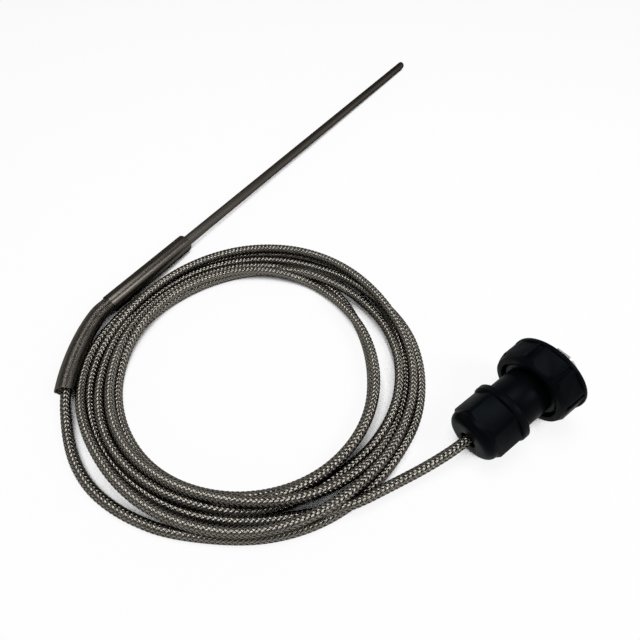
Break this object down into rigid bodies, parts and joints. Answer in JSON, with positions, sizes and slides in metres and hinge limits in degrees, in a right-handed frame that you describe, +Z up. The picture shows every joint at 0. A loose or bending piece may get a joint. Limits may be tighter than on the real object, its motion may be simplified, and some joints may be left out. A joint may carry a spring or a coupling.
{
  "type": "rtd temperature sensor",
  "caption": "Resistance temperature probe: slim closed metal sheath, sleeve and bent spring, coiled braided cable and a black circular plug with a captive turning coupling ring.",
  "frame": {"origin": "on the floor, below the middle of the straight probe", "axes": "+X along the probe towards its closed tip, +Z up; the cable and its plug lie on the -Y side"},
  "size_m": [0.4532, 0.2468, 0.04],
  "materials": {
    "stainless": "satin, drawn",
    "spring_wire": "satin, close-wound wire",
    "braid": "satin metal braid over plastic insulation",
    "element_ceramic": "fired ceramic",
    "insulator_ceramic": "fired ceramic",
    "lead_wire": "bright drawn wire",
    "splice_metal": "tinned",
    "core_insulation": "smooth",
    "screen_copper": "bright",
    "resin": "cast",
    "seal_silicone": "matte",
    "plug_plastic": "fine satin moulding",
    "ring_plastic": "fine satin moulding",
    "cage_plastic": "moulded",
    "seal_rubber": "matte",
    "snap_ring_steel": "satin",
    "insert_plastic": "moulded",
    "contact_metal": "nickel plated"
  },
  "bodies": {
    "sensor": {"sheath": "stainless", "transition_sleeve": "stainless", "strain_relief_spring": "spring_wire", "cable_lead_in": "braid", "cable_coil": "braid", "cable_lead_out": "braid", "sensing_element": "element_ceramic", "insulator_1": "insulator_ceramic", "insulator_2": "insulator_ceramic", "insulator_3": "insulator_ceramic", "insulator_4": "insulator_ceramic", "insulator_5": "insulator_ceramic", "insulator_6": "insulator_ceramic", "element_lead_1": "lead_wire", "element_lead_2": "lead_wire", "element_lead_3": "lead_wire", "element_lead_4": "lead_wire", "splice_1": "splice_metal", "splice_2": "splice_metal", "splice_3": "splice_metal", "splice_4": "splice_metal", "cable_core_1": "core_insulation", "cable_core_2": "core_insulation", "cable_core_3": "core_insulation", "cable_core_4": "core_insulation", "core_wire_1": "core_insulation", "core_wire_2": "core_insulation", "core_wire_3": "core_insulation", "core_wire_4": "core_insulation", "screen_wire": "screen_copper", "potting": "resin", "end_seal": "seal_silicone", "gland_nut": "plug_plastic", "connector_body": "plug_plastic", "clamp_cage": "cage_plastic", "seal_grommet": "seal_rubber", "face_seal": "seal_rubber", "snap_ring": "snap_ring_steel", "contact_insert": "insert_plastic", "earth_blade": "contact_metal", "line_blade_1": "contact_metal", "line_blade_2": "contact_metal", "line_blade_3": "contact_metal", "line_blade_4": "contact_metal"},
    "coupling": {"coupling_ring": "ring_plastic"}
  },
  "joints": [
    {"name": "coupling_turn", "type": "hinge", "parent": "sensor", "child": "coupling", "pos_m": [-0.1149, -0.22057, 0.01939], "axis": [0.9188, -0.361, 0.1596], "continuous": true}
  ]
}
